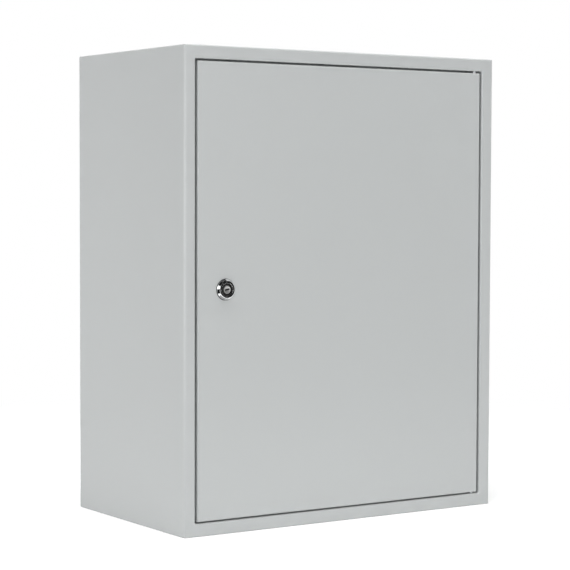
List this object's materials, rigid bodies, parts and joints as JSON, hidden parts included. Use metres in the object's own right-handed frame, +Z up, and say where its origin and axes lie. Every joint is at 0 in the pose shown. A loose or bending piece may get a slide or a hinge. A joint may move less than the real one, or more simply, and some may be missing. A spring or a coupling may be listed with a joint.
{
  "type": "steel wall enclosure",
  "caption": "Flat-faced grey steel wall box with an inset door on hidden pivots, a round cam lock, a mounting plate and a gland plate.",
  "frame": {"origin": "middle of the cabinet's base, halfway across its width and its depth, on the face it stands on", "axes": "+Z up; -Y out of the front, through the door; +X to the right as seen from the front, towards the hinge side"},
  "size_m": [0.4, 0.2335, 0.5],
  "materials": {
    "paint": "fine textured light grey powder coat",
    "zinc": "bright zinc plate",
    "galvanised": "hot-dip galvanised, faint spangle",
    "foam": "closed-cell foam, matt",
    "chrome": "polished chrome plate",
    "brass": "turned, satin"
  },
  "bodies": {
    "cabinet": {"body_wrap": "paint", "top_panel": "paint", "bottom_panel": "paint", "upper_pivot_plate": "paint", "lower_pivot_plate": "paint", "upper_pivot_pin": "zinc", "lower_pivot_pin": "zinc", "mounting_studs": "zinc", "mounting_plate": "galvanised", "plate_washers": "zinc", "plate_nuts": "zinc", "gland_studs": "zinc", "gland_gasket": "foam", "gland_plate": "galvanised", "gland_nuts": "zinc", "earth_stud": "zinc", "earth_washer": "zinc", "earth_nut": "zinc"},
    "door": {"door_panel": "paint", "door_gasket": "foam", "upper_bush_plate": "paint", "lower_bush_plate": "paint", "upper_bush": "brass", "lower_bush": "brass", "door_earth_stud": "zinc", "door_earth_washer": "zinc", "door_earth_nut": "zinc", "lock_body": "chrome", "lock_seal": "foam", "lock_washer": "zinc", "lock_nut": "zinc"},
    "lock": {"lock_rotor": "chrome", "lock_cam": "zinc", "cam_washer": "zinc", "cam_screw": "zinc"}
  },
  "joints": [
    {"name": "door_hinge", "type": "hinge", "parent": "cabinet", "child": "door", "pos_m": [0.1766, -0.1105, 0.25], "axis": [0, 0, 1], "range_deg": [0, 110]},
    {"name": "lock_turn", "type": "hinge", "parent": "door", "child": "lock", "pos_m": [-0.1511, -0.11, 0.252], "axis": [0, 1, 0], "range_deg": [0, 90]}
  ]
}
